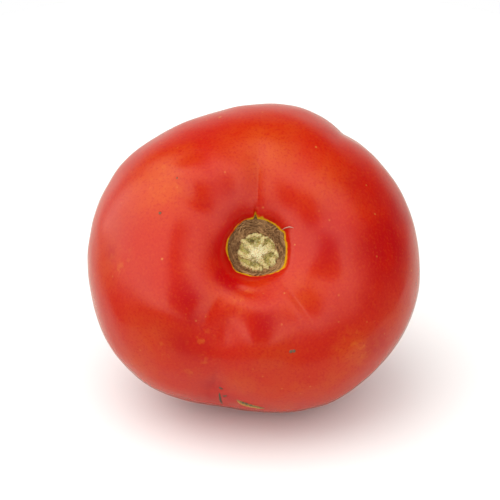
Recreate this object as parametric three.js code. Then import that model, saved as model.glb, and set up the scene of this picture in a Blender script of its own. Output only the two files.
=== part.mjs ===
// A ripe tomato lying on its side, with the dry stub of its stalk left in the stem hollow.
// Millimetres, +Z up. The stem end faces -Y and looks upward. The fruit rests on a small flat spot.
import * as THREE from 'three';

// The fruit in its growing frame: +Z points out of the stem end, +Y is upward as the fruit lies
const WIDTH = 79.2;
const HEIGHT = 75.4;
const CROWN = 29;
const BASE = 31;
const SQUARENESS = 2.35;
const HOLLOW = { depth: 7.8, radius: 11.9 };
const BLOSSOM_DIMPLE = { depth: 1.2, radius: 6 };

// How it lies: the stem end looks up by this angle and leans a little to the right
const STEM_ELEVATION = 36.3;
const STEM_LEAN = 2.1;
const GIRTH_CENTRE_ABOVE_SURFACE = 37;

// Outline of the stalk's scar at the bottom of the hollow, with its corners
const SCAR_RADIUS = 6.95;
const SCAR_CORNERS = [
  { angle: -40, width: 20, out: 0.9 },
  { angle: -131, width: 10, out: 0.4 },
  { angle: -108, width: 9, out: -0.15 },
  { angle: 28, width: 7, out: 0.4 },
  { angle: 112, width: 7, out: 0.2 },
  { angle: 143, width: 12, out: -0.2 },
];

// The skin dips at the scar's edge, deeper and wider at the lower left
const LIP = { depth: 1.25, width: 0.9 };
const LIP_DEEPENS = [{ angle: 216, width: 42, out: 1.9 }];
const LIP_WIDENS = [{ angle: 212, width: 40, out: 1.8 }];

// The scar: a corky ring round the torn pith, in a shallow seat
const SEAT_DEPTH = 2.2;
const GAP = 0.3;
const CORK_BELOW_RIM = 0.4;
const CORK_GROOVE = 0.5;
const CORK_WRINKLES = { count: 19, height: 0.18 };
const PITH = { x: 0.2, y: -1.1, radius: 4.8, core: 0.5 };
const PITH_ARMS = { count: 6, reach: 0.45, height: 0.45, turn: 12 };

// Folds in the skin: angle round the stem, width on either side, depth (a swelling is below zero),
// the angle from the stem end where the fold is deepest, how far it runs from there, and its sharpness
const FOLDS = [
  // Furrows and swellings of the girth
  { angle: 55, before: 5.4, after: 5.4, depth: 1.6, polar: 92, run: 30, power: 1.3 },
  { angle: 112, before: 16, after: 16, depth: 2.1, polar: 88, run: 40, power: 2 },
  { angle: 259, before: 10, after: 10, depth: 1.4, polar: 85, run: 38, power: 1.5 },
  { angle: 40, before: 15, after: 15, depth: 0.6, polar: 90, run: 40, power: 2 },
  { angle: 222, before: 17.5, after: 17.5, depth: -1.7, polar: 88, run: 40, power: 2 },
  { angle: 300, before: 13.5, after: 13.5, depth: -1.5, polar: 88, run: 40, power: 2 },
  { angle: 335, before: 15, after: 15, depth: -1.4, polar: 88, run: 40, power: 2 },
  { angle: 255, before: 3, after: 6, depth: 1.3, polar: 68, run: 20, power: 1.4 },
  // Fuller underside, behind the girth
  { angle: 270, before: 20, after: 20, depth: -1.6, polar: 142, run: 24, power: 2 },
  // Furrows of the shoulder
  { angle: 88, before: 4, after: 3.5, depth: 2.2, polar: 19, run: 14, power: 1.4 },
  { angle: 24, before: 4.5, after: 5.5, depth: 0.9, polar: 24, run: 11, power: 2 },
  { angle: -27, before: 4.4, after: 4.9, depth: 0.65, polar: 22, run: 8, power: 2 },
  { angle: -55, before: 1.2, after: 4, depth: 0.6, polar: 22, run: 9, power: 1.8 },
  { angle: 71, before: 7, after: 8, depth: 0.8, polar: 32, run: 14, power: 2 },
  { angle: 119, before: 2.7, after: 2.7, depth: 0.15, polar: 28, run: 11, power: 2 },
  { angle: 147, before: 2.7, after: 3, depth: 0.5, polar: 24, run: 11, power: 2 },
  { angle: 180, before: 9, after: 9, depth: 0.5, polar: 17, run: 9, power: 2 },
  { angle: 236, before: 2.3, after: 2, depth: 0.5, polar: 25, run: 9, power: 2 },
  { angle: 248, before: 5, after: 4.5, depth: 1.1, polar: 31, run: 9, power: 2 },
  // Lobes of the shoulder
  { angle: 132, before: 8, after: 3, depth: -0.8, polar: 32, run: 8, power: 2 },
  { angle: 212, before: 7.5, after: 7.5, depth: -1.3, polar: 36, run: 11, power: 2 },
  { angle: 271, before: 5, after: 6, depth: -0.5, polar: 18, run: 5, power: 2.4 },
  { angle: 271, before: 5, after: 6, depth: -1.2, polar: 34, run: 12, power: 2.4 },
  // Small swelling at the scar's lower edge, with a crease below it
  { angle: 254, before: 1.6, after: 1.6, depth: -0.8, polar: 10.6, run: 1.9, power: 2 },
  { angle: 260, before: 3, after: 2.5, depth: 0.35, polar: 13.4, run: 1.5, power: 2 },
];
const FOLDS_FADE_BEFORE_POLES = 0.2;

// Facets
const SIDES = 136;
const SKIN_ROWS = 40;
const SKIN_ROW_CROWDING = 1.35;
const CORK_ROWS = 4;
const PITH_ROWS = 5;

const { abs, asin, cos, exp, hypot, max, min, sign, sin, PI } = Math;
const { degToRad, euclideanModulo, lerp, radToDeg } = THREE.MathUtils;

const lie = new THREE.Euler(degToRad(90 - STEM_ELEVATION), degToRad(STEM_LEAN), 0);
const upward = new THREE.Vector3(0, 0, 1).applyQuaternion(new THREE.Quaternion().setFromEuler(lie).invert());

const sumOf = (values) => values.reduce((sum, value) => sum + value, 0);

// Difference of two angles in degrees, from -180 to 180
function turnBetween(angle, from) {
  return euclideanModulo(angle - from + 180, 360) - 180;
}

// What corners add at an angle round the stem
function cornersAt(angle, corners) {
  return sumOf(corners.map((c) => c.out * exp(-((turnBetween(angle, c.angle) / c.width) ** 2))));
}

// Outline of the scar round the stem axis
function scarRadius(angle) {
  return SCAR_RADIUS + cornersAt(angle, SCAR_CORNERS);
}

// How far the skin is from the stem axis at the fruit's widest, and its share of that nearer the poles
function girthAt(angle) {
  return hypot((WIDTH / 2) * cos(degToRad(angle)), (HEIGHT / 2) * sin(degToRad(angle)));
}

function spreadAt(polar) {
  return abs(sin(degToRad(polar))) ** (2 / SQUARENESS);
}

// How far the folds sink the skin at an angle round the stem and an angle from the stem end, in degrees
function foldDepth(angle, polar) {
  const fromAxis = girthAt(angle) * spreadAt(polar);
  const depths = FOLDS.map((fold) => {
    const aside = degToRad(turnBetween(angle, fold.angle)) * fromAxis;
    const across = abs(aside / (aside < 0 ? fold.before : fold.after)) ** fold.power;
    const along = ((polar - fold.polar) / fold.run) ** 2;
    return fold.depth * exp(-across - along);
  });
  return sumOf(depths) * (1 - exp(-((sin(degToRad(polar)) / FOLDS_FADE_BEFORE_POLES) ** 2)));
}

// How far the skin dips at the scar's edge
function lipDepth(angle, fromAxis) {
  const depth = LIP.depth + cornersAt(angle, LIP_DEEPENS);
  const width = LIP.width + cornersAt(angle, LIP_WIDENS);
  return depth * exp(-max(0, fromAxis - scarRadius(angle)) / width);
}

// A point of the skin, with what would reach below the surface flattened onto it
function skinPoint(angle, polar) {
  const round = degToRad(angle);
  const down = degToRad(polar);
  const spread = spreadAt(polar);
  const rise = sign(cos(down)) * abs(cos(down)) ** (2 / SQUARENESS);
  const point = new THREE.Vector3((WIDTH / 2) * spread * cos(round), (HEIGHT / 2) * spread * sin(round), 0);
  const fromAxis = hypot(point.x, point.y);
  if (polar < 90) {
    const hollow = HOLLOW.depth * exp(-((fromAxis / HOLLOW.radius) ** 2));
    point.z = CROWN * rise - hollow - lipDepth(angle, fromAxis);
  } else {
    point.z = BASE * rise + BLOSSOM_DIMPLE.depth * exp(-((fromAxis / BLOSSOM_DIMPLE.radius) ** 2));
  }
  point.setLength(point.length() - foldDepth(angle, polar));
  const below = -GIRTH_CENTRE_ABOVE_SURFACE - point.dot(upward);
  return below > 0 ? point.addScaledVector(upward, below) : point;
}

// Where the skin meets the scar: its angle from the stem end, and its point
function rimPolar(angle) {
  return radToDeg(asin((scarRadius(angle) / girthAt(angle)) ** (SQUARENESS / 2)));
}

function rimPoint(angle) {
  return skinPoint(angle, rimPolar(angle));
}

const sideAngles = Array.from({ length: SIDES }, (_, side) => (360 * side) / SIDES);
const rimHeights = sideAngles.map((angle) => rimPoint(angle).z);
const middleHeight = sumOf(rimHeights) / SIDES;
const seatFloor = min(...rimHeights) - SEAT_DEPTH;

// A closed body from rows that run from its lower pole to its upper pole, each a point for every angle
function loft(rows) {
  const profile = rows.map((row, i) => new THREE.Vector2(1, i));
  const geometry = new THREE.LatheGeometry(profile, SIDES);
  const position = geometry.getAttribute('position');
  for (let side = 0; side <= SIDES; side += 1) {
    const angle = sideAngles[side % SIDES];
    rows.forEach((row, i) => position.setXYZ(side * rows.length + i, ...row(angle)));
  }
  geometry.computeVertexNormals();
  return geometry;
}

function fruit() {
  const rows = [];
  for (let i = 0; i <= SKIN_ROWS; i += 1) {
    const part = (1 - i / SKIN_ROWS) ** SKIN_ROW_CROWDING;
    rows.push((angle) => skinPoint(angle, lerp(rimPolar(angle), 180, part)));
  }
  rows.push((angle) => {
    const rim = rimPoint(angle);
    return [rim.x, rim.y, seatFloor];
  });
  rows.push(() => [0, 0, seatFloor]);
  const skin = new THREE.MeshStandardMaterial({ color: '#cc2a1d', roughness: 0.3, metalness: 0 });
  const mesh = new THREE.Mesh(loft(rows), skin);
  mesh.name = 'fruit';
  return mesh;
}

function stemScar() {
  const bottom = seatFloor + GAP;
  const middleTop = middleHeight - CORK_BELOW_RIM;

  const corkEdge = (angle) => {
    const reach = scarRadius(angle) - GAP;
    return [reach * cos(degToRad(angle)), reach * sin(degToRad(angle))];
  };
  const pithPoint = (angle, share) => {
    const reach = PITH.radius * share;
    return [PITH.x + reach * cos(degToRad(angle)), PITH.y + reach * sin(degToRad(angle))];
  };
  // Ring of cork from the rim to the pith, with wrinkles that run out from the pith
  const corkRow = (inward) => (angle) => {
    const [outerX, outerY] = corkEdge(angle);
    const [innerX, innerY] = pithPoint(angle, 1);
    const wrinkle = CORK_WRINKLES.height * sin(PI * inward) * cos(degToRad(CORK_WRINKLES.count * angle));
    const height = lerp(rimPoint(angle).z - CORK_BELOW_RIM, middleTop - CORK_GROOVE, inward);
    return [lerp(outerX, innerX, inward), lerp(outerY, innerY, inward), height + wrinkle];
  };
  // Torn pith: a raised core with arms, and pockets between them
  const pithRow = (share) => (angle) => {
    const arm = cos(degToRad(PITH_ARMS.count * (angle - PITH_ARMS.turn)));
    const armHeight = PITH_ARMS.height * arm * exp(-(((share - PITH_ARMS.reach) / PITH_ARMS.reach) ** 2));
    const fade = min(1, share / (1 - PITH_ARMS.reach));
    const height = middleTop - CORK_GROOVE * share + PITH.core * (1 - share);
    return [...pithPoint(angle, share), height + fade * armHeight];
  };

  const rows = [() => [PITH.x, PITH.y, bottom], (angle) => [...corkEdge(angle), bottom]];
  for (let i = 0; i < CORK_ROWS; i += 1) {
    rows.push(corkRow(i / CORK_ROWS));
  }
  for (let i = PITH_ROWS; i >= 0; i -= 1) {
    rows.push(pithRow(i / PITH_ROWS));
  }
  const cork = new THREE.MeshStandardMaterial({ color: '#8a6a40', roughness: 0.9, metalness: 0 });
  const mesh = new THREE.Mesh(loft(rows), cork);
  mesh.name = 'stem_scar';
  return mesh;
}

const growth = new THREE.Group();
growth.name = 'growing_frame';
growth.add(fruit(), stemScar());
growth.rotation.copy(lie);
growth.position.z = GIRTH_CENTRE_ABOVE_SURFACE;

// Centred over the origin
const group = new THREE.Group();
group.name = 'tomato';
group.add(growth);
group.updateMatrixWorld(true);
const middle = new THREE.Box3().setFromObject(group, true).getCenter(new THREE.Vector3());
growth.position.x -= middle.x;
growth.position.y -= middle.y;

export default group;
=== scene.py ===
# A ripe tomato lying on its side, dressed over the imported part: waxy skin with its marks and small cracks,
# the corky scar of the stalk with torn pith and a loose fibre, and the dry dot at the blossom end.
# Lengths are in millimetres until a mesh, a camera or a light is made.
from collections import namedtuple

import bmesh
import bpy
import numpy as np
from mathutils import Matrix, Vector, noise
from mathutils.bvhtree import BVHTree


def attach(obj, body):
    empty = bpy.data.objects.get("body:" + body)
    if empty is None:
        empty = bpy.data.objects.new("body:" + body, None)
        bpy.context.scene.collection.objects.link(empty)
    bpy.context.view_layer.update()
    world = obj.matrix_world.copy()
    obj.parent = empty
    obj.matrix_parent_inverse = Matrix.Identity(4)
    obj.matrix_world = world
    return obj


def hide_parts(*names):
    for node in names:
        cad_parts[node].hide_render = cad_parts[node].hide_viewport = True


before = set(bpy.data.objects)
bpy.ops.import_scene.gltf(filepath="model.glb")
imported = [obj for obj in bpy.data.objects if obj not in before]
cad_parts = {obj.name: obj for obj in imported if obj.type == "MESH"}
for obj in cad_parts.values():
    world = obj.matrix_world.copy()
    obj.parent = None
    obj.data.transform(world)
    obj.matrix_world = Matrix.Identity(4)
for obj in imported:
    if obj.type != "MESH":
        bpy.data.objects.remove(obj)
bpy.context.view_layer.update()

MM = 0.001
NOISE_SEED = 6
noise.seed_set(NOISE_SEED)

# The fruit in its growing frame: +Z out of the stem end, +Y upward as the fruit lies
WIDTH, HEIGHT = 79.2, 75.4
CROWN, BASE = 29.0, 31.0
SQUARENESS = 2.35
HOLLOW_DEPTH, HOLLOW_RADIUS = 7.8, 11.9
LIP_DEPTH, LIP_WIDTH = 1.25, 0.9
DIMPLE_DEPTH, DIMPLE_RADIUS = 1.2, 6.0
STEM_ELEVATION, STEM_LEAN = 36.3, 2.1
CENTRE_ABOVE_FLOOR = 37.0

# Folds in the skin: angle round the stem, width on either side, depth (a swelling is below zero),
# the angle from the stem end where the fold is deepest, how far it runs from there, and its sharpness
Fold = namedtuple("Fold", "angle before after depth polar run power")
GIRTH_FOLDS = [
    Fold(55, 5.4, 5.4, 1.6, 92, 30, 1.3),
    Fold(112, 16, 16, 2.1, 88, 40, 2),
    Fold(259, 10, 10, 1.4, 85, 38, 1.5),
    Fold(40, 15, 15, 0.6, 90, 40, 2),
    Fold(222, 17.5, 17.5, -1.7, 88, 40, 2),
    Fold(300, 13.5, 13.5, -1.5, 88, 40, 2),
    Fold(335, 15, 15, -1.4, 88, 40, 2),
    Fold(253.5, 6, 5, 2.0, 65, 16, 1.05),
]
UNDERSIDE_FOLDS = [Fold(270, 20, 20, -1.6, 142, 24, 2)]
SHOULDER_FOLDS = [
    Fold(88, 4, 3.5, 1.9, 19, 14, 1.7),
    Fold(24, 4.5, 5.5, 0.9, 24, 11, 2),
    Fold(-27, 4.4, 4.9, 0.65, 22, 8, 2),
    Fold(-55, 1.2, 4, 0.6, 22, 9, 1.8),
    Fold(71, 7, 8, 0.8, 32, 14, 2),
    Fold(119, 2.7, 2.7, 0.15, 28, 11, 2),
    Fold(132, 8, 3, -0.8, 32, 8, 2),
    Fold(147, 2.7, 3, 0.5, 24, 11, 2),
    Fold(180, 9, 9, 0.5, 17, 9, 2),
    Fold(212, 7.5, 7.5, -1.3, 36, 11, 2),
    Fold(236, 2.3, 2.0, 0.5, 25, 9, 2),
    Fold(248, 5, 4.5, 1.1, 31, 9, 2),
    Fold(271, 5, 6, -0.5, 18, 5, 2.4),
    Fold(271, 5, 6, -1.2, 34, 12, 2.4),
    Fold(254, 1.6, 1.6, -0.8, 10.6, 1.9, 2),
    Fold(260, 3.0, 2.5, 0.35, 13.4, 1.5, 2),
    Fold(89, 0.5, 0.5, 0.13, 20, 9, 1.5),
]
FOLDS = GIRTH_FOLDS + UNDERSIDE_FOLDS + SHOULDER_FOLDS
POLE_FADE = 0.2

# Soft waves in the skin: length and height
SKIN_WAVES = [(11.0, 0.32), (5.0, 0.09)]

# The stalk's scar: its outline, with corners, hollows and a split at the top
Corner = namedtuple("Corner", "angle width out")
SCAR_RADIUS = 6.95
SCAR_CORNERS = [
    Corner(-40, 20, 0.9),
    Corner(-131, 10, 0.4),
    Corner(-108, 9, -0.15),
    Corner(28, 7, 0.4),
    Corner(112, 7, 0.2),
    Corner(143, 12, -0.2),
    Corner(92, 2.4, 1.2),
]

# The skin round the scar: how its lip turns inward and down and where it is wider and deeper, how far the
# yellow at its edge and the deep red beyond reach, the deep red partly the skin's own colour and partly
# painted shade in the hollow, widest on its left wall, and the rounded edge, which takes up some of the
# yellow
LIP_TURN = [(0.3, 1.4), (0.3, 0.6), (0.22, 0.22), (0.1, 0.06)]
LIP_WIDENS = [Corner(212, 40, 1.8)]
LIP_DEEPENS = [Corner(216, 42, 1.9)]
YELLOW_RIM = 0.07
YELLOW_RIM_WIDENS = [
    Corner(84, 14, 0.5),
    Corner(42, 14, 0.22),
    Corner(8, 22, 0.2),
    Corner(-30, 20, 0.34),
    Corner(182, 14, 0.22),
    Corner(246, 12, 0.2),
]
DEEP_RED_AND_SHADE_RIM = 0.8
DEEP_RED_AND_SHADE_RIM_WIDENS = [Corner(195, 75, 3.8)]
ROUNDED_EDGE = 0.12

# The cork in the scar: its gap to the skin, the share of the pith's outline where it ends, the share of its
# own width where its outer edge begins, how far it lies below the rim at that edge, next to it and beside
# the pith, the height of its relief, and the radius round which its fibres sweep
CORK_GAP = 0.12
CORK_END = 0.8
CORK_EDGE_START = 0.97
CORK_EDGE_DROP, CORK_DROP, CORK_INNER_DROP = 0.5, 0.25, 1.0
CORK_RIDGE_RISE, CORK_SWELL_RISE = 0.5, 0.25
CORK_SWEEP_RADIUS = 7.0

# The torn pith in the scar, from its own middle: pale ridges along lines, each with its half width
PITH_X, PITH_Y, PITH_RADIUS = 0.19, -1.14, 4.8
PITH_CORNERS = [Corner(-38, 20, 0.7), Corner(-6, 16, 0.45), Corner(45, 12, -0.25), Corner(90, 12, 0.15)]
Ridge = namedtuple("Ridge", "width points")
PITH_CORE = Ridge(1.35, [(-0.4, -0.4), (0.4, 0.1)])
PITH_RIDGES = [
    PITH_CORE,
    Ridge(0.5, [(0.4, 0.4), (1.05, 2.0), (1.4, 3.4)]),
    Ridge(0.35, [(1.4, 3.3), (2.9, 3.6), (4.1, 2.0)]),
    Ridge(0.95, [(0.6, 0.1), (2.7, 0.9)]),
    Ridge(0.45, [(2.7, 0.8), (4.2, 0.1), (5.0, -1.2)]),
    Ridge(0.6, [(0.4, -1.0), (1.05, -2.4), (2.6, -4.1)]),
    Ridge(0.75, [(3.6, -1.8), (3.8, -3.4)]),
    Ridge(0.75, [(-2.7, -3.8), (-1.0, -4.0), (0.6, -4.1)]),
    Ridge(0.65, [(-3.8, -2.7), (-2.7, -3.4)]),
    Ridge(0.55, [(-4.4, -0.1), (-3.1, -1.0), (-1.7, -1.3)]),
    Ridge(0.65, [(-3.4, 2.7), (-2.2, 1.5), (-0.8, 0.4)]),
    Ridge(0.5, [(-2.4, 3.6), (-0.8, 4.1), (0.6, 3.8)]),
]

# A small hole in the pith, how far the pith and its edge lie below the rim, and the height of its relief
PITH_HOLE_X, PITH_HOLE_Y, PITH_HOLE_RADIUS, PITH_HOLE_DEPTH = -1.15, 2.65, 0.35, 0.4
PITH_DROP, PITH_EDGE_DROP, PITH_EDGE_START = 0.75, 1.0, 0.82
PITH_RIDGE_RISE, PITH_CORE_RISE, PITH_TANGLE_RISE, PITH_TORN_RISE = 0.6, 0.25, 0.3, 0.25

# Corky cracks in the skin and a loose fibre at the scar, along pixels of the photo, each with its section
DARK_CRACKS = {
    "crack_upper": [(219.4, 386.6), (220.6, 388.4), (223.0, 389.0)],
    "crack_lower": [(219.4, 392.6), (219.8, 397.0), (220.6, 400.8), (222.6, 404.2)],
    "crack_side": [(222.6, 395.4), (224.6, 396.2), (227.2, 395.2)],
}
LONG_CRACK = [
    (236.5, 399.6), (241.0, 402.4), (246.0, 404.5), (251.0, 405.9), (257.0, 407.1), (265.0, 408.8),
]
DARK_SECTION = [
    (-0.34, -0.1), (-0.26, 0.06), (-0.1, 0.1), (0.0, 0.02), (0.1, 0.1), (0.26, 0.06), (0.34, -0.1),
]
CORKY_SECTION = [
    (-1.1, -0.1), (-0.9, 0.1), (-0.4, 0.2), (0.0, 0.1), (0.4, 0.02), (0.8, 0.12), (1.0, -0.1),
]
FIBRE_PATH = [(281.5, 230.0), (285.4, 227.8), (289.4, 226.8), (292.0, 227.2), (294.1, 228.2)]
FIBRE_SECTION = [(-0.07, 0.0), (-0.1, 0.1), (-0.05, 0.18), (0.05, 0.18), (0.1, 0.1), (0.07, 0.0)]

# The dry dot at the blossom end
BLOSSOM_RADIUS, BLOSSOM_HEIGHT, BLOSSOM_EDGE_DEPTH, BLOSSOM_LUMPS = 1.3, 0.25, 0.06, 0.15

# The camera, as in the photo: 500 px across, with this many to a millimetre at the fruit's middle
CAMERA_ELEVATION = 30.0
CAMERA_DISTANCE = 620.0
PHOTO_SIZE = 500
PIXELS_PER_MM = 4.15
FRUIT_MIDDLE_PIXEL = (253.0, 257.0)
SENSOR_WIDTH = 36.0

# Facets round and along the fruit, where rows crowd towards the scar, and of the other pieces and the floor
SKIN_SIDES, SKIN_ROWS, SKIN_ROW_CROWDING = 480, 196, 1.3
SCAR_SIDES, CORK_ROWS, PITH_ROWS = 360, 60, 70
BLOSSOM_SIDES, BLOSSOM_ROWS = 60, 14
CRACK_ROWS, LONG_CRACK_ROWS, FIBRE_ROWS = 60, 90, 40
FLOOR_SIDES = 90


def turn_between(angle, start):
    """Degrees from one angle to another, from -180 to 180."""
    return (angle - start + 180.0) % 360.0 - 180.0


def bump_at(angle, corners):
    """How far the corners stand out at an angle round the stem."""
    return sum(c.out * np.exp(-((turn_between(angle, c.angle) / c.width) ** 2)) for c in corners)


def girth_at(angle):
    """How far the skin is from the stem's axis at the fruit's widest, before any fold."""
    return np.hypot(WIDTH / 2.0 * np.cos(np.radians(angle)), HEIGHT / 2.0 * np.sin(np.radians(angle)))


def spread_at(polar):
    """Share of the full girth at an angle from the stem end."""
    return np.abs(np.sin(np.radians(polar))) ** (2.0 / SQUARENESS)


def fold_depth(angle, polar):
    """How far the folds sink the skin, fading out at both poles."""
    from_axis = girth_at(angle) * spread_at(polar)
    depth = np.zeros(from_axis.shape)
    for fold in FOLDS:
        aside = np.radians(turn_between(angle, fold.angle)) * from_axis
        across = np.abs(aside / np.where(aside < 0, fold.before, fold.after)) ** fold.power
        along = ((polar - fold.polar) / fold.run) ** 2
        depth = depth + fold.depth * np.exp(-across - along)
    return depth * (1.0 - np.exp(-((np.sin(np.radians(polar)) / POLE_FADE) ** 2)))


def turn_matrix(axis, degrees):
    return np.array(Matrix.Rotation(np.radians(degrees), 3, axis))


LIE = turn_matrix("X", 90.0 - STEM_ELEVATION) @ turn_matrix("Y", STEM_LEAN)
UPWARD = LIE.T @ np.array([0.0, 0.0, 1.0])


def scar_radius(angle):
    return SCAR_RADIUS + bump_at(angle, SCAR_CORNERS)


def rim_polar(angle):
    """Angle from the stem end at which the skin meets the scar."""
    return np.degrees(np.arcsin((scar_radius(angle) / girth_at(angle)) ** (SQUARENESS / 2.0)))


def skin_points(angle, polar):
    """Points of the skin in the growing frame, with what would reach below the floor flattened onto it."""
    rise = np.sign(np.cos(np.radians(polar))) * np.abs(np.cos(np.radians(polar))) ** (2.0 / SQUARENESS)
    x = WIDTH / 2.0 * spread_at(polar) * np.cos(np.radians(angle))
    y = HEIGHT / 2.0 * spread_at(polar) * np.sin(np.radians(angle))
    from_axis = np.hypot(x, y)
    hollow = HOLLOW_DEPTH * np.exp(-((from_axis / HOLLOW_RADIUS) ** 2))
    lip_width = LIP_WIDTH + bump_at(angle, LIP_WIDENS)
    lip_depth = LIP_DEPTH + bump_at(angle, LIP_DEEPENS)
    lip = lip_depth * np.exp(-np.maximum(0.0, from_axis - scar_radius(angle)) / lip_width)
    dimple = DIMPLE_DEPTH * np.exp(-((from_axis / DIMPLE_RADIUS) ** 2))
    z = np.where(polar < 90.0, CROWN * rise - hollow - lip, BASE * rise + dimple)
    points = np.stack(np.broadcast_arrays(x, y, z), axis=-1)
    length = np.linalg.norm(points, axis=-1)
    points = points * (1.0 - fold_depth(angle, polar) / length)[..., None]
    below = np.maximum(0.0, -CENTRE_ABOVE_FLOOR - points @ UPWARD)
    return points + below[..., None] * UPWARD


def angles(sides):
    return np.arange(sides) * 360.0 / sides


def circle(angle):
    """One row of points on a circle with a radius of one."""
    return np.stack([np.cos(np.radians(angle)), np.sin(np.radians(angle))], axis=-1)[None]


def rim_points(angle):
    return skin_points(angle, rim_polar(angle))


# Placing: the fruit's own box is centred over the origin, as the part's is
all_round = skin_points(angles(180)[None, :], np.linspace(1.0, 179.0, 180)[:, None]) @ LIE.T
middle = (all_round.min(axis=(0, 1)) + all_round.max(axis=(0, 1))) / 2.0
GROWTH_CENTRE = np.array([-middle[0], -middle[1], CENTRE_ABOVE_FLOOR])


def to_world(points):
    return (points @ LIE.T + GROWTH_CENTRE) * MM


# The camera's own directions, and what it sees at a pixel of the photo
elevation = np.radians(CAMERA_ELEVATION)
CAMERA_BACK = np.array([0.0, -np.cos(elevation), np.sin(elevation)])
CAMERA_UP = np.array([0.0, np.sin(elevation), np.cos(elevation)])
CAMERA_RIGHT = np.array([1.0, 0.0, 0.0])


def across_view(pixel):
    """The step in millimetres, square to the view, from the photo's middle to one of its pixels."""
    right, down = (np.array(pixel) - PHOTO_SIZE / 2.0) / PIXELS_PER_MM
    return right * CAMERA_RIGHT - down * CAMERA_UP


CAMERA_AIM = GROWTH_CENTRE - across_view(FRUIT_MIDDLE_PIXEL)
CAMERA_PLACE = CAMERA_AIM + CAMERA_DISTANCE * CAMERA_BACK


def sight(pixel):
    """Direction in which the camera sees a pixel of the photo."""
    return Vector(across_view(pixel) - CAMERA_DISTANCE * CAMERA_BACK).normalized()


# Meshes


def grid_mesh(name, points, layers):
    """A smooth mesh from rows of points in metres that run outward or downward, each row once round."""
    rows, sides = points.shape[:2]
    index = np.arange(rows * sides).reshape(rows, sides)
    index = np.concatenate([index, index[:, :1]], axis=1)
    quads = np.stack([index[:-1, :-1], index[1:, :-1], index[1:, 1:], index[:-1, 1:]], axis=-1)
    mesh = bpy.data.meshes.new(name)
    mesh.from_pydata(points.reshape(-1, 3).tolist(), [], quads.reshape(-1, 4).tolist())
    for layer, values in layers.items():
        attribute = mesh.attributes.new(layer, "FLOAT", "POINT")
        attribute.data.foreach_set("value", np.broadcast_to(values, (rows, sides)).ravel())
    made = bmesh.new()
    made.from_mesh(mesh)
    bmesh.ops.remove_doubles(made, verts=made.verts, dist=1e-7)
    made.to_mesh(mesh)
    made.free()
    mesh.shade_smooth()
    return mesh


def piece(name, data, material, slot, *nodes):
    """A piece of the part that rides on its one body and stands for the named nodes."""
    made = bpy.data.objects.new(name, data)
    bpy.context.scene.collection.objects.link(made)
    data.materials.append(material)
    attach(made, "root")
    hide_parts(*nodes)


def uneven(points):
    """Points of the skin moved in or out a little, in soft waves of two lengths."""
    waves = []
    for point in points.reshape(-1, 3):
        place = Vector(point)
        waves.append(sum(height * noise.noise(place / length) for length, height in SKIN_WAVES))
    share = np.array(waves).reshape(points.shape[:2]) / np.linalg.norm(points, axis=-1)
    moved = points * (1.0 + share)[..., None]
    below = np.maximum(0.0, -CENTRE_ABOVE_FLOOR - moved @ UPWARD)
    return moved + below[..., None] * UPWARD


def skin_mesh():
    """The skin from its lip to the blossom end, with each point's distance from the scar and the reach of
    the colours round it."""
    angle = angles(SKIN_SIDES)[None, :]
    part = (np.linspace(0.0, 1.0, SKIN_ROWS) ** SKIN_ROW_CROWDING)[:, None]
    start = rim_polar(angle)
    outside = uneven(skin_points(angle, start + (180.0 - start) * part))
    steps = np.linalg.norm(np.diff(outside, axis=0), axis=-1)
    from_rim = np.concatenate([np.zeros((1, SKIN_SIDES)), np.cumsum(steps, axis=0)])
    outward = outside[:1] * [1.0, 1.0, 0.0] / np.linalg.norm(outside[:1, :, :2], axis=-1)[..., None]
    downward = np.array([0.0, 0.0, -1.0])
    lip = [outside[:1] - inward * outward + drop * downward for inward, drop in LIP_TURN]
    points = np.concatenate(lip + [outside])
    from_rim = np.concatenate([np.zeros((len(lip), SKIN_SIDES)), from_rim])
    layers = {
        "rim": from_rim,
        "yellow": YELLOW_RIM + bump_at(angle, YELLOW_RIM_WIDENS),
        "deep_red_and_shade": DEEP_RED_AND_SHADE_RIM + bump_at(angle, DEEP_RED_AND_SHADE_RIM_WIDENS),
    }
    return grid_mesh("skin", to_world(points), layers)


def wrinkles(points, scale, warp):
    """Tangled ridges, from 0 in the creases to about 1 on the ridges."""
    values = []
    for x, y in points.reshape(-1, 2):
        place = Vector((x, y, 0.0)) * scale
        place += warp * noise.noise_vector(place * 0.45)
        values.append(1.0 - abs(noise.noise(place)) * 2.4)
    return np.clip(np.array(values).reshape(points.shape[:2]), 0.0, 1.0)


def lumps(points, scale, depth=0.0):
    """Soft lumps over flat points, from about -1 to 1."""
    values = [noise.noise(Vector((x, y, depth)) * scale) for x, y in points.reshape(-1, 2)]
    return np.array(values).reshape(points.shape[:2])


def from_line(x, y, points):
    """Distance from the line through the points."""
    nearest = np.full(x.shape, np.inf)
    for (start_x, start_y), (end_x, end_y) in zip(points, points[1:]):
        run_x, run_y = end_x - start_x, end_y - start_y
        along = ((x - start_x) * run_x + (y - start_y) * run_y) / (run_x**2 + run_y**2)
        along = np.clip(along, 0.0, 1.0)
        nearest = np.minimum(nearest, np.hypot(x - start_x - along * run_x, y - start_y - along * run_y))
    return nearest


def inside(distance, sharpness):
    """One well inside a distance of one, a half at it and 0 beyond."""
    return 1.0 / (1.0 + np.exp(np.clip((distance - 1.0) * sharpness, -50.0, 50.0)))


def pith_outline(angle):
    """The ragged edge of the torn pith, from its own middle."""
    ragged = 0.5 * lumps(circle(angle), 4.0)[0] + 0.35 * lumps(circle(angle), 12.0)[0]
    return PITH_RADIUS + bump_at(angle, PITH_CORNERS) + ragged


def pith_edge(angle, share):
    """Points at this share of the way from the pith's middle to its edge."""
    reach = pith_outline(angle) * share
    return circle(angle)[0] * reach[:, None] + (PITH_X, PITH_Y)


RIM_HEIGHT = float(rim_points(angles(SCAR_SIDES)[None, :])[..., 2].mean())


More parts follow.
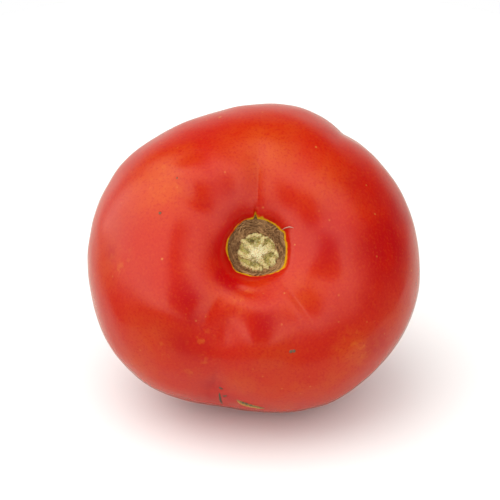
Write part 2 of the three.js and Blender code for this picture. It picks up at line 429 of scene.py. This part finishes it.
def fibres(flat, along, across):
    """Fibres in the cork that sweep round the scar and bend here and there, from 0 to 1."""
    values = []
    for x, y in flat.reshape(-1, 2):
        bend = noise.noise_vector(Vector((x, y, 5.0)) * 0.35)
        angle = np.arctan2(y, x) + 0.9 * bend.x
        reach = np.hypot(x, y) + 1.6 * bend.y
        place = Vector((reach / across, CORK_SWEEP_RADIUS * angle / along, 0.0))
        values.append(0.5 + 0.9 * noise.noise(place) + 0.4 * noise.noise(place * 2.3))
    return np.clip(np.array(values).reshape(flat.shape[:2]), 0.0, 1.0)


def cork_mesh():
    """The dry ring between the skin's lip and the pith: tangled fibres, sunken towards the pith."""
    angle = angles(SCAR_SIDES)
    rim = rim_points(angle[None, :])[0]
    outer = rim[:, :2] * (1.0 - CORK_GAP / np.linalg.norm(rim[:, :2], axis=-1))[:, None]
    inner = pith_edge(angle, CORK_END)
    share = np.linspace(0.0, 1.0, CORK_ROWS)[:, None]
    flat = inner[None] + (outer - inner)[None] * share[..., None]
    ridge = 0.6 * fibres(flat, 1.7, 0.4) + 0.4 * fibres(flat[..., ::-1], 1.1, 0.35)
    level = rim[None, :, 2] * share + RIM_HEIGHT * (1.0 - share)
    drop = CORK_DROP * share + CORK_INNER_DROP * (1.0 - share)
    z = level - drop + CORK_RIDGE_RISE * (ridge - 0.6) + CORK_SWELL_RISE * lumps(flat, 0.5)
    z = np.where(share > CORK_EDGE_START, level - CORK_EDGE_DROP, z)
    points = np.concatenate([flat, z[..., None]], axis=-1)
    return grid_mesh("scar_cork", to_world(points), {"ridge": ridge})


def pith_mesh():
    """The torn pith: a pale core with ridges out to a ragged rim, and green pockets between them."""
    angle = angles(SCAR_SIDES)
    share = np.linspace(0.0, 1.0, PITH_ROWS)
    flat = np.stack([pith_edge(angle, s) for s in share])
    x, y = flat[..., 0] - PITH_X, flat[..., 1] - PITH_Y
    tangle = wrinkles(flat, 1.6, 1.3)
    torn = 0.6 * lumps(flat, 1.1, 3.0) + 0.5 * lumps(flat, 2.8, 7.0)
    ridges = [inside(from_line(x, y, r.points) / r.width + torn, 5.0) for r in PITH_RIDGES]
    pale = np.max(ridges, axis=0)
    core = inside(from_line(x, y, PITH_CORE.points) / PITH_CORE.width + torn, 4.0)
    hole = inside(np.hypot(x - PITH_HOLE_X, y - PITH_HOLE_Y) / PITH_HOLE_RADIUS + 0.4 * torn, 8.0)
    edge = np.clip((share[:, None] - PITH_EDGE_START) / (1.0 - PITH_EDGE_START), 0.0, 1.0) ** 2
    rise = PITH_RIDGE_RISE * pale + PITH_CORE_RISE * core
    rise += PITH_TANGLE_RISE * (tangle - 0.5) + PITH_TORN_RISE * torn
    z = RIM_HEIGHT - PITH_DROP + rise - PITH_HOLE_DEPTH * hole - PITH_EDGE_DROP * edge
    points = np.concatenate([flat, z[..., None]], axis=-1)
    layers = {"pale": pale, "core": core, "hole": hole, "edge": edge}
    return grid_mesh("scar_pith", to_world(points), layers)


def surface_of(mesh):
    return BVHTree.FromPolygons([v.co for v in mesh.vertices], [p.vertices for p in mesh.polygons])


def seen(surface, pixel):
    """The point and the normal of a surface that the camera sees at a pixel of the photo."""
    return surface.ray_cast(Vector(CAMERA_PLACE * MM), sight(pixel))[:2]


def strand(name, surface, path, section, steps):
    """A closed strip on a surface, seen along these pixels. Its section of steps aside and up runs over
    its top, and shrinks towards both ends."""
    pixels = np.array(path)
    run = np.concatenate([[0.0], np.cumsum(np.linalg.norm(np.diff(pixels, axis=0), axis=-1))])
    share = np.linspace(0.0, 1.0, steps)
    xs, ys = (np.interp(share * run[-1], run, pixels[:, axis]) for axis in (0, 1))
    hits = [seen(surface, pixel) for pixel in zip(xs, ys)]
    ahead = np.gradient(np.array([point for point, normal in hits]), axis=0)
    rows = []
    for (point, normal), forward, part in zip(hits, ahead, share):
        across = normal.cross(Vector(forward)).normalized() * MM
        full = (1.0 - abs(2.0 * part - 1.0) ** 3) * (1.0 + 0.5 * noise.noise(point / (1.5 * MM)))
        row = []
        for aside, up in section:
            foot, outward = surface.find_nearest(point + across * aside * full)[:2]
            row.append(foot + outward * up * full * MM)
        rows.append(row)
    aside = np.array([a for a, up in section])
    return grid_mesh(name, np.array(rows), {"aside": aside / np.abs(aside).max()})


def blossom_mesh():
    """The dry dot where the flower sat, at the far end of the fruit."""
    angle = angles(BLOSSOM_SIDES)
    share = np.linspace(1.0, 0.0, BLOSSOM_ROWS)[:, None]
    reach = BLOSSOM_RADIUS * (1.0 + 0.5 * lumps(circle(angle), 2.0)[0])
    from_pole = np.degrees(np.arcsin((reach / girth_at(angle)) ** (SQUARENESS / 2.0)))
    points = skin_points(angle[None, :], 180.0 - from_pole * share ** (SQUARENESS / 2.0))
    dome = BLOSSOM_HEIGHT * (1.0 - share**2) - BLOSSOM_EDGE_DEPTH
    points[..., 2] -= dome + BLOSSOM_LUMPS * lumps(points[..., :2], 2.2)
    return grid_mesh("blossom_scar", to_world(points), {"ridge": 0.5 + lumps(points[..., :2], 1.5)})


# Materials


def add(tree, kind, inputs=None, **settings):
    """A shader node with its settings, and its inputs set to values or linked from other nodes' outputs."""
    made = tree.nodes.new(kind)
    for name, value in settings.items():
        setattr(made, name, value)
    for key, value in (inputs or {}).items():
        if isinstance(value, bpy.types.NodeSocket):
            tree.links.new(value, made.inputs[key])
        else:
            made.inputs[key].default_value = value
    return made


def math(tree, operation, first, second=0.0, clamp=False):
    made = add(tree, "ShaderNodeMath", {0: first, 1: second}, operation=operation, use_clamp=clamp)
    return made.outputs[0]


def ramp(tree, value, low, high, to_low=0.0, to_high=1.0):
    """A smooth step of a value from one level to another."""
    inputs = {"Value": value, "From Min": low, "From Max": high, "To Min": to_low, "To Max": to_high}
    return add(tree, "ShaderNodeMapRange", inputs, interpolation_type="SMOOTHSTEP").outputs[0]


def mix(tree, share, first, second):
    inputs = {0: share, 6: first, 7: second}
    return add(tree, "ShaderNodeMix", inputs, data_type="RGBA", blend_type="MIX").outputs[2]


def blotches(tree, place, size_mm, detail=2.0, roughness=0.5):
    """Noise with features of about this size, from 0 to 1."""
    inputs = {"Vector": place, "Scale": 1.0 / (size_mm * MM), "Detail": detail, "Roughness": roughness}
    return add(tree, "ShaderNodeTexNoise", inputs).outputs["Fac"]


def layer(tree, name):
    return add(tree, "ShaderNodeAttribute", attribute_name=name).outputs["Fac"]


def bump(tree, height, strength, distance_mm, under=None):
    inputs = {"Height": height, "Strength": strength, "Distance": distance_mm * MM}
    if under is not None:
        inputs["Normal"] = under
    return add(tree, "ShaderNodeBump", inputs).outputs[0]


def new_material(name):
    material = bpy.data.materials.new(name)
    material.use_nodes = True
    tree = material.node_tree
    return material, tree, tree.nodes["Principled BSDF"]


def near(tree, place, surface, spots, soft=1.0):
    """How near a point is to the spots seen on a surface: 0 outside, a spot's strength at its middle."""
    most = 0.0
    for spot in spots:
        inputs = {0: place, 1: seen(surface, (spot.x, spot.y))[0]}
        away = add(tree, "ShaderNodeVectorMath", inputs, operation="DISTANCE").outputs["Value"]
        radius = spot.radius * MM
        within = ramp(tree, away, radius, radius * (1.0 - soft), 0.0, spot.strength)
        most = math(tree, "MAXIMUM", within, most)
    return most


# Colours
RED = (0.42, 0.009, 0.001, 1.0)
ORANGE = (0.46, 0.042, 0.002, 1.0)
CRIMSON = (0.35, 0.0001, 0.001, 1.0)
HOLLOW_RED_AND_SHADE = (0.4, 0.0001, 0.0005, 1.0)
YELLOW = (0.5, 0.26, 0.003, 1.0)
FLECK = (0.5, 0.17, 0.03, 1.0)
GOLD = (0.5, 0.1, 0.006, 1.0)
WAX = (1.0, 0.97, 0.86, 1.0)
SCAB = (0.11, 0.085, 0.05, 1.0)
CORK = (0.21, 0.105, 0.038, 1.0)
CORK_DARK = (0.1, 0.045, 0.016, 1.0)
CORK_PALE = (0.34, 0.19, 0.08, 1.0)
CRACK = (0.05, 0.05, 0.03, 1.0)
DARK_EDGE = (0.22, 0.05, 0.02, 1.0)
OCHRE = (0.4, 0.2, 0.03, 1.0)
FIBRE = (0.55, 0.36, 0.33, 1.0)
OLIVE = (0.2, 0.155, 0.035, 1.0)
OLIVE_PALE = (0.34, 0.27, 0.07, 1.0)
PITH_TAN = (0.36, 0.26, 0.1, 1.0)
PITH_CREAM = (0.5, 0.42, 0.18, 1.0)
PITH_WHITE = (0.6, 0.53, 0.31, 1.0)
PITH_HOLE_SHADE = (0.15, 0.11, 0.035, 1.0)

# Where the photo shows paler orange, deeper red or veined skin, small pale flecks, dark scabs, and pale or
# dark cork: pixel, radius and strength
Spot = namedtuple("Spot", "x y radius strength")
ORANGE_SPOTS = [
    Spot(157, 182, 15, 0.9),
    Spot(262, 152, 15, 1.0),
    Spot(325, 178, 13, 0.6),
    Spot(362, 205, 8, 0.4),
    Spot(300, 292, 8, 0.6),
    Spot(357, 352, 10, 0.9),
    Spot(150, 335, 14, 0.5),
    Spot(105, 268, 9, 0.5),
    Spot(285, 130, 12, 0.4),
    Spot(258, 285, 5, 0.5),
    Spot(275, 385, 14, 0.4),
    Spot(338, 378, 12, 0.5),
    Spot(241, 384, 8, 0.7),
    Spot(138, 364, 12, 0.5),
    Spot(395, 318, 9, 0.4),
]
# Deeper red, partly the skin's own colour and partly painted shade: the spots down the right side, by the
# scar's left, on the left of the bottom crease and near the floor darken where less light and sheen fall
CRIMSON_AND_SHADE_SPOTS = [
    Spot(188, 296, 8, 1.0),
    Spot(187, 315, 6, 0.8),
    Spot(265, 326, 7, 1.0),
    Spot(327, 236, 11, 1.0),
    Spot(388, 245, 15, 1.0),
    Spot(398, 210, 10, 0.8),
    Spot(372, 190, 12, 0.6),
    Spot(229, 278, 6, 2.0),
    Spot(222, 250, 5, 1.0),
    Spot(187, 345, 9, 0.7),
    Spot(120, 228, 9, 0.5),
    Spot(111, 251, 4, 0.9),
    Spot(232, 200, 6, 0.5),
    Spot(375, 345, 6, 0.7),
    Spot(230, 399, 4.5, 0.9),
    Spot(213, 384, 5, 0.8),
    Spot(211, 397, 5, 0.8),
]
VEINED_SPOTS = [
    Spot(160, 180, 9, 0.7),
    Spot(161, 350, 4, 0.7),
    Spot(201, 338, 5, 0.55),
    Spot(357, 350, 9, 0.6),
    Spot(241, 298, 5, 0.6),
    Spot(193, 372, 4, 0.4),
    Spot(203, 361, 3.5, 0.35),
    Spot(120, 262, 7, 0.4),
]
FLECKS = [
    Spot(162, 259, 0.4, 0.9),
    Spot(316, 147, 0.4, 0.8),
    Spot(375, 214, 0.35, 0.7),
    Spot(220, 117, 0.7, 0.6),
    Spot(294.8, 244.6, 0.3, 0.9),
    Spot(284.4, 293.1, 0.3, 0.8),
]
SCABS = [
    Spot(291, 351.5, 0.55, 1.0),
    Spot(294, 351, 0.5, 1.0),
    Spot(160, 213, 0.45, 0.9),
    Spot(177, 178, 0.3, 0.8),
    Spot(416, 284, 0.3, 0.8),
]
PALE_CORK_SPOTS = [Spot(262, 222, 3.5, 0.3), Spot(277, 263, 3, 0.45)]
# Darker cork, partly its own tone and partly painted shadow: at the scar's left and round the pith's top and
# right edge
DARK_CORK_AND_SHADOW_SPOTS = [
    Spot(231, 248, 4.5, 0.6),
    Spot(237, 262, 3, 0.5),
    Spot(255, 219, 1.5, 0.6),
    Spot(254, 228, 2.5, 0.5),
    Spot(277, 237, 2.2, 0.7),
    Spot(280, 256, 1.4, 0.8),
]


def skin_material(surface):
    material, tree, shader = new_material("skin")
    place = add(tree, "ShaderNodeTexCoord").outputs["Object"]
    broad = blotches(tree, place, 22.0, 3.0)
    cloudy = blotches(tree, place, 6.0, 4.0, 0.6)
    grain = blotches(tree, place, 0.55, 2.0)

    ripe = ramp(tree, broad, 0.52, 0.75, 0.0, 0.5)
    ripe = math(tree, "ADD", ripe, near(tree, place, surface, ORANGE_SPOTS))
    # Deeper red from random tone and from the spots, which are partly painted shade
    deep = ramp(tree, broad, 0.48, 0.28, 0.0, 0.5)
    deep = math(tree, "ADD", deep, near(tree, place, surface, CRIMSON_AND_SHADE_SPOTS))
    mottle = ramp(tree, cloudy, 0.3, 0.7, 0.55, 1.25)
    colour = mix(tree, math(tree, "MULTIPLY", ripe, mottle, True), RED, ORANGE)
    colour = mix(tree, math(tree, "MULTIPLY", deep, mottle, True), colour, CRIMSON)
    colour = mix(tree, ramp(tree, grain, 0.5, 0.75, 0.0, 0.3), colour, ORANGE)
    colour = mix(tree, ramp(tree, grain, 0.5, 0.3, 0.0, 0.5), colour, CRIMSON)
    veins = ramp(tree, blotches(tree, place, 2.0, 4.0, 0.6), 0.52, 0.72)
    patches = near(tree, place, surface, VEINED_SPOTS)
    colour = mix(tree, math(tree, "MULTIPLY", veins, patches, True), colour, GOLD)

    dots = add(tree, "ShaderNodeTexVoronoi", {"Vector": place, "Scale": 1.0 / (2.2 * MM)})
    dot_size = ramp(tree, dots.outputs["Distance"], 0.16, 0.05)
    few = add(tree, "ShaderNodeSeparateColor", {0: dots.outputs["Color"]}).outputs[0]
    dotted = math(tree, "MULTIPLY", dot_size, ramp(tree, few, 0.8, 0.95, 0.0, 0.35))
    colour = mix(tree, dotted, colour, FLECK)
    colour = mix(tree, near(tree, place, surface, FLECKS), colour, FLECK)

    from_rim = layer(tree, "rim")
    # Deep red round the scar, partly the skin's own colour and partly painted shade in the hollow
    deep_red_and_shade = ramp(tree, math(tree, "DIVIDE", from_rim, layer(tree, "deep_red_and_shade")), 1.15, 0.45, 0.0, 1.2)
    colour = mix(tree, math(tree, "MULTIPLY", deep_red_and_shade, mottle, True), colour, HOLLOW_RED_AND_SHADE)
    ragged = math(tree, "DIVIDE", math(tree, "ADD", from_rim, ROUNDED_EDGE), layer(tree, "yellow"))
    ragged = math(tree, "ADD", ragged, ramp(tree, blotches(tree, place, 0.9), 0.3, 0.7, -0.6, 0.6))
    colour = mix(tree, ramp(tree, ragged, 2.8, 1.2, 0.0, 0.9), colour, GOLD)
    colour = mix(tree, ramp(tree, ragged, 1.8, 0.6), colour, YELLOW)
    scab = near(tree, place, surface, SCABS, 0.6)
    colour = mix(tree, scab, colour, SCAB)

    tree.links.new(colour, shader.inputs["Base Color"])
    rough = ramp(tree, cloudy, 0.3, 0.7, 0.19, 0.25)
    tree.links.new(math(tree, "ADD", rough, math(tree, "MULTIPLY", scab, 0.4)), shader.inputs["Roughness"])
    dimpled = bump(tree, blotches(tree, place, 3.5, 2.0), 0.05, 0.4)
    pored = bump(tree, grain, 0.035, 0.1, dimpled)
    tree.links.new(bump(tree, scab, 0.8, 0.25, pored), shader.inputs["Normal"])
    shader.inputs["IOR"].default_value = 1.36
    shader.inputs["Specular Tint"].default_value = WAX
    shader.inputs["Subsurface Weight"].default_value = 0.12
    shader.inputs["Subsurface Radius"].default_value = (1.0, 0.25, 0.12)
    shader.inputs["Subsurface Scale"].default_value = 2.5 * MM
    return material


def cork_material(surface):
    material, tree, shader = new_material("cork")
    place = add(tree, "ShaderNodeTexCoord").outputs["Object"]
    ridge = layer(tree, "ridge")
    fine = blotches(tree, place, 0.35, 4.0, 0.7)
    broad = blotches(tree, place, 2.5, 3.0)
    # Darker down between the fibres and paler up on their ridges, following the relief
    fibre_rise = math(tree, "ADD", ridge, ramp(tree, fine, 0.3, 0.7, -0.15, 0.15))
    colour = mix(tree, ramp(tree, fibre_rise, 0.15, 0.8), CORK_DARK, CORK)
    colour = mix(tree, ramp(tree, math(tree, "ADD", fibre_rise, broad), 0.95, 1.5, 0.0, 0.8), colour, CORK_PALE)
    colour = mix(tree, near(tree, place, surface, PALE_CORK_SPOTS), colour, CORK_PALE)
    # Darker cork at the spots, partly painted shadow
    colour = mix(tree, near(tree, place, surface, DARK_CORK_AND_SHADOW_SPOTS), colour, CORK_DARK)
    tree.links.new(colour, shader.inputs["Base Color"])
    tree.links.new(bump(tree, fine, 0.6, 0.15), shader.inputs["Normal"])
    tree.links.new(ramp(tree, fine, 0.3, 0.7, 0.8, 0.95), shader.inputs["Roughness"])
    shader.inputs["Specular IOR Level"].default_value = 0.2
    return material


def pith_material():
    material, tree, shader = new_material("pith")
    place = add(tree, "ShaderNodeTexCoord").outputs["Object"]
    fine = blotches(tree, place, 0.3, 4.0, 0.7)
    broken = ramp(tree, fine, 0.3, 0.7, -0.25, 0.25)
    pocket = mix(tree, ramp(tree, blotches(tree, place, 1.2), 0.4, 0.6), OLIVE, OLIVE_PALE)
    pale = math(tree, "ADD", layer(tree, "pale"), broken)
    colour = mix(tree, ramp(tree, pale, 0.15, 0.6), pocket, PITH_TAN)
    colour = mix(tree, ramp(tree, pale, 0.5, 1.1), colour, PITH_CREAM)
    colour = mix(tree, math(tree, "ADD", layer(tree, "core"), broken, True), colour, PITH_WHITE)
    # The small hole painted dark: painted shade inside it
    colour = mix(tree, layer(tree, "hole"), colour, PITH_HOLE_SHADE)
    colour = mix(tree, ramp(tree, layer(tree, "edge"), 0.15, 0.8, 0.0, 0.8), colour, CORK)
    tree.links.new(colour, shader.inputs["Base Color"])
    tree.links.new(bump(tree, fine, 0.5, 0.15), shader.inputs["Normal"])
    tree.links.new(ramp(tree, fine, 0.3, 0.7, 0.75, 0.95), shader.inputs["Roughness"])
    shader.inputs["Specular IOR Level"].default_value = 0.25
    shader.inputs["Subsurface Weight"].default_value = 0.1
    shader.inputs["Subsurface Scale"].default_value = 0.5 * MM
    return material


def crack_material(name, edge, core, core_width):
    """Dark along its core and its edge's colour beside it. The core's place and width are shares of half
    the crack's width."""
    material, tree, shader = new_material(name)
    place = add(tree, "ShaderNodeTexCoord").outputs["Object"]
    fine = blotches(tree, place, 0.35, 3.0, 0.6)
    aside = math(tree, "ADD", layer(tree, "aside"), ramp(tree, fine, 0.3, 0.7, -0.5, 0.3))
    from_core = math(tree, "ABSOLUTE", math(tree, "SUBTRACT", aside, core))
    split = ramp(tree, from_core, core_width + 0.2, core_width - 0.2)
    tree.links.new(mix(tree, split, edge, CRACK), shader.inputs["Base Color"])
    tree.links.new(bump(tree, fine, 0.5, 0.1), shader.inputs["Normal"])
    tree.links.new(ramp(tree, fine, 0.3, 0.7, 0.7, 0.9), shader.inputs["Roughness"])
    return material


def fibre_material():
    material, tree, shader = new_material("fibre")
    place = add(tree, "ShaderNodeTexCoord").outputs["Object"]
    fine = blotches(tree, place, 0.4)
    tree.links.new(mix(tree, fine, CORK_PALE, FIBRE), shader.inputs["Base Color"])
    tree.links.new(ramp(tree, fine, 0.3, 0.7, 0.6, 0.8), shader.inputs["Roughness"])
    return material


# Pieces of the part
skin, cork = skin_mesh(), cork_mesh()
skin_surface = surface_of(skin)
dry_cork = cork_material(surface_of(cork))
piece("skin", skin, skin_material(skin_surface), "skin", "fruit")
piece("scar_cork", cork, dry_cork, "scar", "stem_scar")
piece("scar_pith", pith_mesh(), pith_material(), "scar", "stem_scar")
piece("blossom_scar", blossom_mesh(), dry_cork, "scar", "fruit")
dark = crack_material("dark_crack", DARK_EDGE, 0.0, 0.7)
corky = crack_material("corky_crack", OCHRE, 0.35, 0.4)
for name, path in DARK_CRACKS.items():
    piece(name, strand(name, skin_surface, path, DARK_SECTION, CRACK_ROWS), dark, "scar", "fruit")
long_crack = strand("crack_long", skin_surface, LONG_CRACK, CORKY_SECTION, LONG_CRACK_ROWS)
piece("crack_long", long_crack, corky, "scar", "fruit")
fibre = strand("fibre", skin_surface, FIBRE_PATH, FIBRE_SECTION, FIBRE_ROWS)
piece("fibre", fibre, fibre_material(), "scar", "stem_scar")

# Stage: a pale round floor, with its middle behind the fruit and a dimmer colour where the skin mirrors it
FLOOR_RADIUS, FLOOR_BEHIND = 155.0, 85.0
FLOOR = (0.86, 0.852, 0.832, 1.0)
FLOOR_MIRRORED = (0.64, 0.63, 0.55, 1.0)

# What else the skin mirrors: a broad window round the camera, tilted, wider to the left and fading out at
# the horizon, with a dark patch where the camera stands, dim ground, a dim room and a pale wall behind.
# A reach is how many degrees it goes from the camera to the left, right, up and down.
WINDOW_REACH = (120.0, 50.0, 66.0, 75.0)
WINDOW_TILT, WINDOW_BLUR = 10.0, 0.28
WINDOW_STRENGTH, WINDOW_LEFT_GAIN = 2.75, 1.15
SHADE_REACH = (21.0, 16.0, 22.0, 36.0)
SHADE_BLUR = 0.65
HORIZON_LOW, HORIZON_HIGH = -0.22, 0.2
GROUND_STRENGTH, ROOM_STRENGTH = 0.45, 0.03
WALL_STRENGTH, WALL_LEFT_GAIN = 0.9, 1.45
WHITE = (1.0, 1.0, 1.0, 1.0)
WARM = (1.0, 0.97, 0.87, 1.0)

# What lights all else: a sky, brightest in front, and a broad lamp overhead. Behind the floor's edge the
# camera sees a plain backdrop.
SKY_FRONT, SKY_BEHIND = 1.7, 0.56
SKY_LEFT_GAIN, SKY_RIGHT_GAIN, SKY_BELOW_GAIN = 1.06, 0.84, 0.55
OVERHEAD_POWER, OVERHEAD_SIZE = 6.0, 1200.0
OVERHEAD_PLACE = np.array([-350.0, -100.0, 1000.0])
BACKDROP = 1.0


def make_floor():
    mesh = bpy.data.meshes.new("floor")
    edge = circle(angles(FLOOR_SIDES))[0] * FLOOR_RADIUS + (0.0, FLOOR_BEHIND)
    corners = [(x * MM, y * MM, 0.0) for x, y in edge]
    mesh.from_pydata(corners, [], [range(len(corners))])
    floor = bpy.data.objects.new("floor", mesh)
    bpy.context.scene.collection.objects.link(floor)
    material, tree, shader = new_material("pale_floor")
    mirrored = add(tree, "ShaderNodeLightPath").outputs["Is Glossy Ray"]
    tree.links.new(mix(tree, mirrored, FLOOR, FLOOR_MIRRORED), shader.inputs["Base Color"])
    shader.inputs["Roughness"].default_value = 0.75
    shader.inputs["Specular IOR Level"].default_value = 0.2
    mesh.materials.append(material)


def make_camera():
    data = bpy.data.cameras.new("camera")
    data.sensor_width = SENSOR_WIDTH
    data.lens = SENSOR_WIDTH * CAMERA_DISTANCE * PIXELS_PER_MM / PHOTO_SIZE
    camera = bpy.data.objects.new("camera", data)
    bpy.context.scene.collection.objects.link(camera)
    camera.location = CAMERA_PLACE * MM
    camera.rotation_euler = Matrix((CAMERA_RIGHT, CAMERA_UP, CAMERA_BACK)).transposed().to_euler()
    bpy.context.scene.camera = camera


def oval(tree, x, y, reach, soft):
    """One inside an oval of directions with this reach, and 0 outside. The directions lie on a flat
    picture, each at the tangent of half its angle from the camera."""
    left, right, up, down = np.tan(np.radians(reach) / 2.0)
    across = math(tree, "DIVIDE", math(tree, "SUBTRACT", x, (right - left) / 2.0), (right + left) / 2.0)
    along = math(tree, "DIVIDE", math(tree, "SUBTRACT", y, (up - down) / 2.0), (up + down) / 2.0)
    squares = math(tree, "ADD", math(tree, "POWER", across, 2.0), math(tree, "POWER", along, 2.0))
    return ramp(tree, math(tree, "SQRT", squares), 1.0 + soft, 1.0 - soft)


def make_surroundings():
    """What the skin mirrors, what lights it and what the camera sees, each for its own kind of ray."""
    world = bpy.data.worlds.new("studio")
    world.use_nodes = True
    world.cycles.sampling_method = "NONE"
    bpy.context.scene.world = world
    tree = world.node_tree
    tree.nodes.clear()
    direction = add(tree, "ShaderNodeTexCoord").outputs["Generated"]

    def share(axis):
        """How far a direction points along an axis, from -1 to 1."""
        inputs = {0: direction, 1: Vector(axis)}
        return add(tree, "ShaderNodeVectorMath", inputs, operation="DOT_PRODUCT").outputs["Value"]

    front, right, up = share(CAMERA_BACK), share(CAMERA_RIGHT), share((0.0, 0.0, 1.0))
    depth = math(tree, "MAXIMUM", math(tree, "ADD", front, 1.0), 0.05)

    def flat(axis):
        """Where a direction lies along an axis of the flat picture."""
        return math(tree, "DIVIDE", share(axis), depth)

    tilt = np.radians(WINDOW_TILT)
    along = np.cos(tilt) * CAMERA_RIGHT - np.sin(tilt) * CAMERA_UP
    above = np.sin(tilt) * CAMERA_RIGHT + np.cos(tilt) * CAMERA_UP
    window = oval(tree, flat(along), flat(above), WINDOW_REACH, WINDOW_BLUR)
    shade = oval(tree, flat(CAMERA_RIGHT), flat(CAMERA_UP), SHADE_REACH, SHADE_BLUR)
    window = math(tree, "MULTIPLY", window, ramp(tree, shade, 1.0, 0.0))
    window = math(tree, "MULTIPLY", window, ramp(tree, up, HORIZON_LOW, HORIZON_HIGH))
    window = math(tree, "MULTIPLY", window, ramp(tree, right, -0.3, -1.0, 1.0, WINDOW_LEFT_GAIN))
    window = math(tree, "MULTIPLY", window, WINDOW_STRENGTH)
    ground = ramp(tree, up, HORIZON_HIGH, HORIZON_LOW, 0.0, GROUND_STRENGTH)
    wall = ramp(tree, front, 0.0, -0.8, ROOM_STRENGTH, WALL_STRENGTH)
    wall = math(tree, "MULTIPLY", wall, ramp(tree, right, -0.2, -0.75, 1.0, WALL_LEFT_GAIN))
    mirrored = math(tree, "ADD", window, math(tree, "MAXIMUM", wall, ground))

    sky = ramp(tree, front, -0.7, 0.9, SKY_BEHIND, SKY_FRONT)
    sky = math(tree, "MULTIPLY", sky, ramp(tree, right, -0.9, 0.9, SKY_LEFT_GAIN, SKY_RIGHT_GAIN))
    sky = math(tree, "MULTIPLY", sky, ramp(tree, up, -0.2, 0.0, SKY_BELOW_GAIN, 1.0))

    ray = add(tree, "ShaderNodeLightPath").outputs
    strength = add(tree, "ShaderNodeMix", {0: ray["Is Glossy Ray"], 2: sky, 3: mirrored}).outputs[0]
    strength = add(tree, "ShaderNodeMix", {0: ray["Is Camera Ray"], 2: strength, 3: BACKDROP}).outputs[0]
    tint = mix(tree, ray["Is Glossy Ray"], WHITE, WARM)
    room = add(tree, "ShaderNodeBackground", {"Color": tint, "Strength": strength})
    add(tree, "ShaderNodeOutputWorld", {"Surface": room.outputs[0]})


def make_lamp():
    data = bpy.data.lights.new("overhead", "AREA")
    data.energy = OVERHEAD_POWER
    data.size = OVERHEAD_SIZE * MM
    overhead = bpy.data.objects.new("overhead", data)
    bpy.context.scene.collection.objects.link(overhead)
    overhead.location = OVERHEAD_PLACE * MM
    overhead.rotation_euler = Vector(-overhead.location).to_track_quat("-Z", "Y").to_euler()
    overhead.visible_glossy = False


make_floor()
make_camera()
make_surroundings()
make_lamp()
bpy.context.scene.view_settings.view_transform = "Standard"
